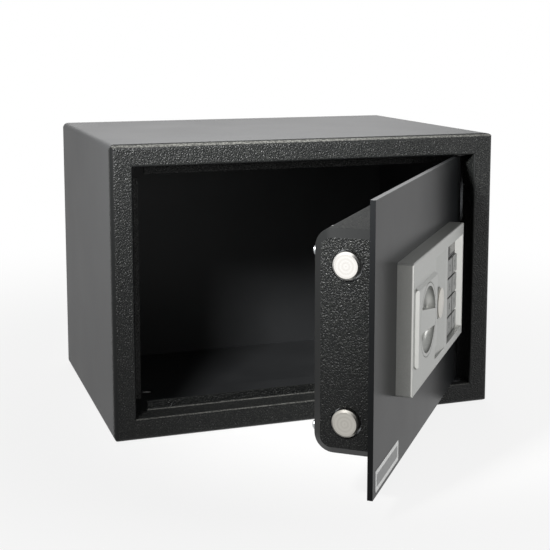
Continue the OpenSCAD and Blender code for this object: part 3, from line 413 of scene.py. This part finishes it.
# Epoxy glass laminate under green solder mask: glossy, with paler copper tracks about 0.7 mm wide.
greenBoard = {"dark": "#164a2e", "light": "#2f7a4a",
              "tracks": 14,  # mm over which their pattern repeats
              "trackWidth": 0.05,  # share of that
              "depth": 0.04, "relief": 0.5, "roughness": 0.3, "glossDrift": 0.05, "shader": {"IOR": 1.5}}


def solderMask(name, look):
    material, tree, coordinates = startMaterial(name)
    tracks = addNode(tree, "ShaderNodeTexBrick",
                     {"Scale": perMetre(look["tracks"]), "Mortar Size": look["trackWidth"],
                      "Mortar Smooth": 0.2, "Color1": (0, 0, 0, 1), "Color2": (0.2, 0.2, 0.2, 1),
                      "Mortar": (1, 1, 1, 1)},
                     {"Vector": coordinates.outputs["Object"]})
    patternedSurface(tree, tracks.outputs["Color"], look, tracks.outputs["Color"])
    return material


# Copper wire, lacquered and close wound: red-brown turns. The wire is 0.3 mm and drawn 0.6 mm.
copperWire = {"dark": "#5e2c17", "light": "#b3653a", "wire": 0.6, "depth": 0.2, "relief": 0.8,
              "roughness": 0.32, "glossDrift": 0.06, "shader": {"Metallic": 0.8}}


def woundCopper(name, look):
    material, tree, coordinates = startMaterial(name)
    turns = addNode(tree, "ShaderNodeTexWave",
                    {"wave_type": "BANDS", "bands_direction": "Z", "Scale": waveScale(look["wire"])},
                    {"Vector": coordinates.outputs["Object"]})
    patternedSurface(tree, turns.outputs["Fac"], look, turns.outputs["Fac"])
    return material


# Polyvinyl chloride sleeve, shrunk on: slate grey and glossy, with a tone that drifts along the cell.
cellSleeve = {"dark": "#3c3f46", "light": "#4c5058", "sheen": 12, "roughness": 0.3, "glossDrift": 0.06,
              "shader": {"IOR": 1.53, "Coat Weight": 0.2}}


def shrunkSleeve(name, look):
    material, tree, coordinates = startMaterial(name)
    sheen = addNode(tree, "ShaderNodeTexNoise", {"Scale": perMetre(look["sheen"]), "Detail": 3.0},
                    {"Vector": coordinates.outputs["Object"]})
    patternedSurface(tree, sheen.outputs["Fac"], look)
    return material


print("materials described")


def dress(material, *names):
    for name in names:
        nodes[name].material_slots[0].material = material


# The flat faces of cabinet and door, and what the bends of frame and tray face, which get a painted
# highlight.
squareAxes = [Vector((1, 0, 0)), Vector((0, 1, 0)), Vector((0, 0, 1))]
doorAxes = [alongDoor, outOfDoor, upwards]
frameBend = Vector((0, -1, 1)).normalized()
trayBend = doorDirection(-0.38, -0.92)
keyNames = [name for name in nodes if name.startswith("key_") and name != "key_switches"]

dress(sprayedSatinCoat("powderCoatSatin", satinCoat), "cabinet_shell", "back_panel", "hinge_brackets",
      "hinge_bushes")
dress(sprayedWrinkleCoat("powderCoatWrinkle", wrinkleCoat, squareAxes, frameBend),
      "front_frame", "door_stops")
dress(sprayedWrinkleCoat("powderCoatWrinkleTray", wrinkleCoat, doorAxes, trayBend), "door_tray")
dress(sprayedSatinCoat("powderCoatDoor", doorCoat), "door_plate", "hinge_pins")
platedSteel = grainedMetal("zincPlatedSteel", zincPlate)
dress(platedSteel, "tray_screws", "tray_posts", "bolt_guides", "guide_posts", "solenoid_frame",
      "panel_screws", "bolt_carriage", "bolt_screws", "spindle", "cam", "cam_screw", "solenoid_plunger",
      "plunger_spring", "lock_lever", "lock_nut", "battery_contacts", "lock_barrel")
dress(grainedMetal("machinedBrass", machinedBrass), "spindle_bush", "lock_plug")
dress(turnedNickelPlate("turnedNickelUpper", turnedNickel, "upper_bolt", alongDoor), "upper_bolt")
# The lower bolt's darker nickel is a painted reflection of the darker floor near it.
dress(turnedNickelPlate("turnedNickelLower", darkerNickel, "lower_bolt", alongDoor), "lower_bolt")
dress(turnedNickelPlate("turnedNickelCap", darkerNickel, "override_cap", outOfDoor), "override_cap")
dress(silverSprayedPlastic("absSprayedSilver", sprayedSilver), "panel_shell", "knob")
dress(erodedPlastic("absMouldedGrey", greyPlastic), *keyNames)
dress(erodedPlastic("absMouldedBlack", blackPlastic), "battery_box", "battery_cover", "reset_switch",
      "keypad_frame", "key_switches")
dress(erodedPlastic("absMouldedRed", redPlastic), "reset_button")
dress(smokedAcrylic("acrylicSmoked", smokedWindow), "indicator_window")
dress(castEpoxy("epoxyCast", lampLenses), "indicator_lamps")
dress(solderMask("laminateSolderMasked", greenBoard), "control_board")
dress(woundCopper("copperLacquered", copperWire), "solenoid_coil")
dress(shrunkSleeve("pvcShrunk", cellSleeve), "battery_cells")
print("nodes dressed")


# Sheet and mouldings have no knife edges: each gets a small rounding.
edgeRounding = {
    "radii": {  # mm
        "door_plate": 0.6,
        "front_frame": 0.7,
        "door_stops": 0.7,
        "cabinet_shell": 0.4,
        "back_panel": 0.4,
        "hinge_brackets": 0.4,
        "door_tray": 0.6,
        "battery_box": 0.4,
        "battery_cover": 0.4,
    },
    "weld": 0.01,  # mm, for points that lie on each other
    "sharperThan": 40,  # degrees
    "steps": 2,
}


def roundEdges(name, radius, settings):
    node = nodes[name]
    weld = node.modifiers.new("weld", "WELD")
    weld.merge_threshold = inMetres(settings["weld"])
    bevel = node.modifiers.new("edges", "BEVEL")
    bevel.limit_method = "ANGLE"
    bevel.angle_limit = math.radians(settings["sharperThan"])
    bevel.width = inMetres(radius)
    bevel.segments = settings["steps"]
    bevel.use_clamp_overlap = True
    smooth = node.modifiers.new("shading", "WEIGHTED_NORMAL")
    smooth.keep_sharp = True


for name, radius in edgeRounding["radii"].items():
    roundEdges(name, radius, edgeRounding)
print("edges rounded")


# Return spring of the plunger: one round wire that stands on the solenoid's frame.
# It is drawn at one fixed length; the real one shortens as the plunger goes down.
returnSpring = {
    "wireRadius": 0.35,  # mm
    "turns": 5,
    "stepsPerTurn": 24,
    "sides": 10,
}


def coiledWire(middle, coilRadius, bottom, top, settings):
    mesh = bpy.data.meshes.new("returnSpring")
    sides = settings["sides"]
    steps = settings["turns"] * settings["stepsPerTurn"]
    wireRadius = inMetres(settings["wireRadius"])
    points = []
    for step in range(steps + 1):
        angle = math.tau * settings["turns"] * step / steps
        outwards = Vector((math.cos(angle), math.sin(angle), 0))
        height = bottom + (top - bottom) * step / steps
        centre = Vector((middle.x, middle.y, height)) + coilRadius * outwards
        for side in range(sides):
            around = math.tau * side / sides
            towardsSide = math.cos(around) * outwards + math.sin(around) * upwards
            points.append(centre + wireRadius * towardsSide)
    faces = [tuple(range(sides)), tuple(reversed(range(steps * sides, (steps + 1) * sides)))]
    for step in range(steps):
        for side in range(sides):
            here, beside = step * sides + side, step * sides + (side + 1) % sides
            faces.append((here, here + sides, beside + sides, beside))
    mesh.from_pydata(points, [], faces)
    mesh.shade_smooth()
    return mesh


def placeReturnSpring(settings, material):
    low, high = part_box("plunger_spring")
    plungerLow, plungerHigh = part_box("solenoid_plunger")
    middle = (plungerLow + plungerHigh) / 2
    points = [vertex.co for vertex in nodes["plunger_spring"].data.vertices]
    reach = max(math.hypot(point.x - middle.x, point.y - middle.y) for point in points)
    wireRadius = inMetres(settings["wireRadius"])
    mesh = coiledWire(middle, reach - wireRadius, low.z + wireRadius, high.z - wireRadius, settings)
    mesh.materials.append(material)
    spring = addObject("return_spring", mesh)
    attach(spring, "door")
    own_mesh(spring)
    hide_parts("plunger_spring")


placeReturnSpring(returnSpring, platedSteel)
print("return spring placed")


# New pieces lie on the door or on a key: x runs along the door, y up and z out of its face.
def placeOnDoor(mesh, name, material, origin, body):
    mesh.materials.append(material)
    piece = addObject(name, mesh)
    piece.matrix_world = Matrix.Translation(origin) @ doorTurn
    bpy.context.view_layer.update()
    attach(piece, body)


# Brings a point out of the door onto the outermost face of a node.
def ontoFace(point, name):
    face = max(vertex.co.dot(outOfDoor) for vertex in nodes[name].data.vertices)
    return point + outOfDoor * (face - point.dot(outOfDoor))


# Numbers of the keys, printed in a thin raised ink.
keyNumbers = {
    "height": 8.2,  # mm
    "ink": 0.06,  # mm thick
    "curveSteps": 4,
    "labels": {"key_star": "*", "key_hash": "#"},
}


def numberMesh(words, settings):
    curve = bpy.data.curves.new("words", "FONT")
    curve.body = words
    curve.size = inMetres(settings["height"])
    curve.extrude = inMetres(settings["ink"]) / 2
    curve.resolution_u = settings["curveSteps"]
    writing = addObject("words", curve)
    bpy.context.view_layer.update()
    mesh = bpy.data.meshes.new_from_object(writing.evaluated_get(bpy.context.evaluated_depsgraph_get()))
    bpy.data.objects.remove(writing)
    xs = [vertex.co.x for vertex in mesh.vertices]
    ys = [vertex.co.y for vertex in mesh.vertices]
    middle = Vector(((min(xs) + max(xs)) / 2, (min(ys) + max(ys)) / 2, -curve.extrude))
    mesh.transform(Matrix.Translation(-middle))
    return mesh


inkMaterial = erodedPlastic("inkPrinted", darkInk)
for name in keyNames:
    words = keyNumbers["labels"].get(name, name.removeprefix("key_"))
    low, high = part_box(name)
    placeOnDoor(numberMesh(words, keyNumbers), name + "_number", inkMaterial,
                ontoFace((low + high) / 2, name), name)
print("keys numbered")


# Label at the door's lower free corner: pale foil round a blank dark field. Sizes are in millimetres.
doorLabel = {
    "left": 7,  # from the door's free edge
    "bottom": 3,  # from its lower edge
    "width": 67,
    "height": 15.7,
    "border": 3.4,
    "cornerRadius": 1.2,
    "foil": 0.15,  # thickness
    "field": 0.05,
    "cornerSteps": 6,
}


def roundedPlate(width, height, corner, thickness, cornerSteps):
    mesh = bpy.data.meshes.new("plate")
    outline = []
    for quarter, (x, y) in enumerate([(1, 1), (-1, 1), (-1, -1), (1, -1)]):
        for step in range(cornerSteps + 1):
            angle = math.radians(90 * quarter + 90 / cornerSteps * step)
            outline.append((inMetres(x * (width / 2 - corner) + corner * math.cos(angle)),
                            inMetres(y * (height / 2 - corner) + corner * math.sin(angle))))
    count = len(outline)
    points = [(x, y, 0) for x, y in outline] + [(x, y, inMetres(thickness)) for x, y in outline]
    sides = [(i, (i + 1) % count, (i + 1) % count + count, i + count) for i in range(count)]
    faces = sides + [tuple(reversed(range(count))), tuple(range(count, 2 * count))]
    mesh.from_pydata(points, [], faces)
    return mesh


def placeLabel(settings):
    points = [vertex.co for vertex in nodes["door_plate"].data.vertices]
    freeEdge = hingePlace + alongDoor * min((point - hingePlace).dot(alongDoor) for point in points)
    corner = ontoFace(freeEdge, "door_plate")
    corner.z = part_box("door_plate")[0].z
    middle = (corner + alongDoor * inMetres(settings["left"] + settings["width"] / 2)
              + upwards * inMetres(settings["bottom"] + settings["height"] / 2))
    foil = roundedPlate(settings["width"], settings["height"], settings["cornerRadius"],
                        settings["foil"], settings["cornerSteps"])
    placeOnDoor(foil, "door_label", erodedPlastic("foilPrinted", paleFoil), middle, "door")
    field = roundedPlate(settings["width"] - 2 * settings["border"],
                         settings["height"] - 2 * settings["border"],
                         settings["cornerRadius"] / 2, settings["field"], settings["cornerSteps"])
    placeOnDoor(field, "door_label_field", erodedPlastic("vinylPrinted", darkField),
                middle + outOfDoor * inMetres(settings["foil"]), "door")


placeLabel(doorLabel)
print("label placed")


# Studio: a pale floor that takes the shadow and shows white, and soft lamps.
studio = {
    "white": (1, 1, 1, 1),
    "floorSize": 40.0,  # metres
    "floorColour": "#e9e9e7",
    "floorGlow": 0.84,  # share of the floor beside the safe that shows as plain white
    "glowReach": (0.25, 0.85),  # metres over which that share rises to 1
    "footprint": (0.17, 0.12),  # half the width and depth of the safe, under which nothing shines
    "skyLight": 0.32,  # what the white surroundings give to matt surfaces
}
# Places are in metres, powers in watts and spreads in degrees.
safeMiddle = (0, 0, 0.12)
lamps = {
    "keyLamp": {"place": (-0.42, -0.52, 0.52), "aim": (-0.075, -0.215, 0.31),
                "size": 0.12, "power": 2.6, "spread": 54},
    "frontLamp": {"place": (0.25, -1.3, 0.2), "aim": safeMiddle,
                  "size": 0.5, "power": 1.8, "spread": 180},
    "fillLamp": {"place": (1.3, -0.9, 0.5), "aim": safeMiddle,
                 "size": 0.5, "power": 7.0, "spread": 180},
    "topLamp": {"place": (0.35, 1.7, 1.3), "aim": safeMiddle,
                "size": 1.6, "power": 12.0, "spread": 180},
}


# 1 where the eye, a reflection or clear plastic shows the surroundings, 0 where they light something.
def seenAsBackground(tree):
    path = addNode(tree, "ShaderNodeLightPath")
    direct = addNode(tree, "ShaderNodeMath", {"operation": "MAXIMUM"},
                     {0: path.outputs["Is Camera Ray"], 1: path.outputs["Is Glossy Ray"]})
    seen = addNode(tree, "ShaderNodeMath", {"operation": "MAXIMUM"},
                   {0: direct.outputs["Value"], 1: path.outputs["Is Transmission Ray"]})
    return seen.outputs["Value"]


def makeWorld(settings):
    world = bpy.data.worlds.new("whiteSurroundings")
    bpy.context.scene.world = world
    world.use_nodes = True
    tree = world.node_tree
    tree.nodes.clear()
    light = addNode(tree, "ShaderNodeBackground",
                    {"Color": settings["white"], "Strength": settings["skyLight"]})
    white = addNode(tree, "ShaderNodeBackground", {"Color": settings["white"], "Strength": 1.0})
    mix = addNode(tree, "ShaderNodeMixShader",
                  links={0: seenAsBackground(tree), 1: light.outputs[0], 2: white.outputs[0]})
    addNode(tree, "ShaderNodeOutputWorld", links={"Surface": mix.outputs[0]})


# Matt paint, of which a share shows plain white: nearly all of it far off, none of it under the safe.
def floorPaint(settings):
    material, tree, coordinates = startMaterial("floorPaint")
    paint = addNode(tree, "ShaderNodeBsdfDiffuse", {"Color": linearColour(settings["floorColour"])})
    white = addNode(tree, "ShaderNodeEmission", {"Color": settings["white"], "Strength": 1.0})
    distance = addNode(tree, "ShaderNodeVectorMath", {"operation": "LENGTH"},
                       {0: coordinates.outputs["Object"]})
    glowStart, glowEnd = settings["glowReach"]
    glow = addNode(tree, "ShaderNodeMapRange",
                   {"interpolation_type": "SMOOTHSTEP", "From Min": glowStart, "From Max": glowEnd,
                    "To Min": settings["floorGlow"], "To Max": 1.0},
                   {"Value": distance.outputs["Value"]})
    sides = addNode(tree, "ShaderNodeSeparateXYZ", links={"Vector": coordinates.outputs["Object"]})
    halfWidth, halfDepth = settings["footprint"]
    acrossSafe = addNode(tree, "ShaderNodeMath", {"operation": "COMPARE", 1: 0.0, 2: halfWidth},
                         {0: sides.outputs["X"]})
    alongSafe = addNode(tree, "ShaderNodeMath", {"operation": "COMPARE", 1: 0.0, 2: halfDepth},
                        {0: sides.outputs["Y"]})
    under = addNode(tree, "ShaderNodeMath", {"operation": "MULTIPLY"},
                    {0: acrossSafe.outputs["Value"], 1: alongSafe.outputs["Value"]})
    beside = addNode(tree, "ShaderNodeMath", {"operation": "SUBTRACT", 0: 1.0},
                     {1: under.outputs["Value"]})
    shown = addNode(tree, "ShaderNodeMath", {"operation": "MULTIPLY"},
                    {0: glow.outputs["Result"], 1: beside.outputs["Value"]})
    share = addNode(tree, "ShaderNodeMath", {"operation": "MULTIPLY"},
                    {0: shown.outputs["Value"], 1: seenAsBackground(tree)})
    mix = addNode(tree, "ShaderNodeMixShader",
                  links={0: share.outputs["Value"], 1: paint.outputs[0], 2: white.outputs[0]})
    addNode(tree, "ShaderNodeOutputMaterial", links={"Surface": mix.outputs[0]})
    return material


def makeFloor(settings):
    half = settings["floorSize"] / 2
    corners = [(-half, -half, 0), (half, -half, 0), (half, half, 0), (-half, half, 0)]
    mesh = bpy.data.meshes.new("floor")
    mesh.from_pydata(corners, [], [(0, 1, 2, 3)])
    mesh.materials.append(floorPaint(settings))
    addObject("floor", mesh)


def makeLamp(name, settings):
    data = bpy.data.lights.new(name, "AREA")
    data.size = settings["size"]
    data.energy = settings["power"]
    data.spread = math.radians(settings["spread"])
    lamp = addObject(name, data)
    lamp.location = settings["place"]
    lamp.rotation_euler = (Vector(settings["aim"]) - lamp.location).to_track_quat("-Z", "Y").to_euler()
    lamp.visible_camera = False


bpy.context.scene.view_settings.view_transform = "Standard"
makeWorld(studio)
makeFloor(studio)
for lampName, lampSettings in lamps.items():
    makeLamp(lampName, lampSettings)
print("studio lit")
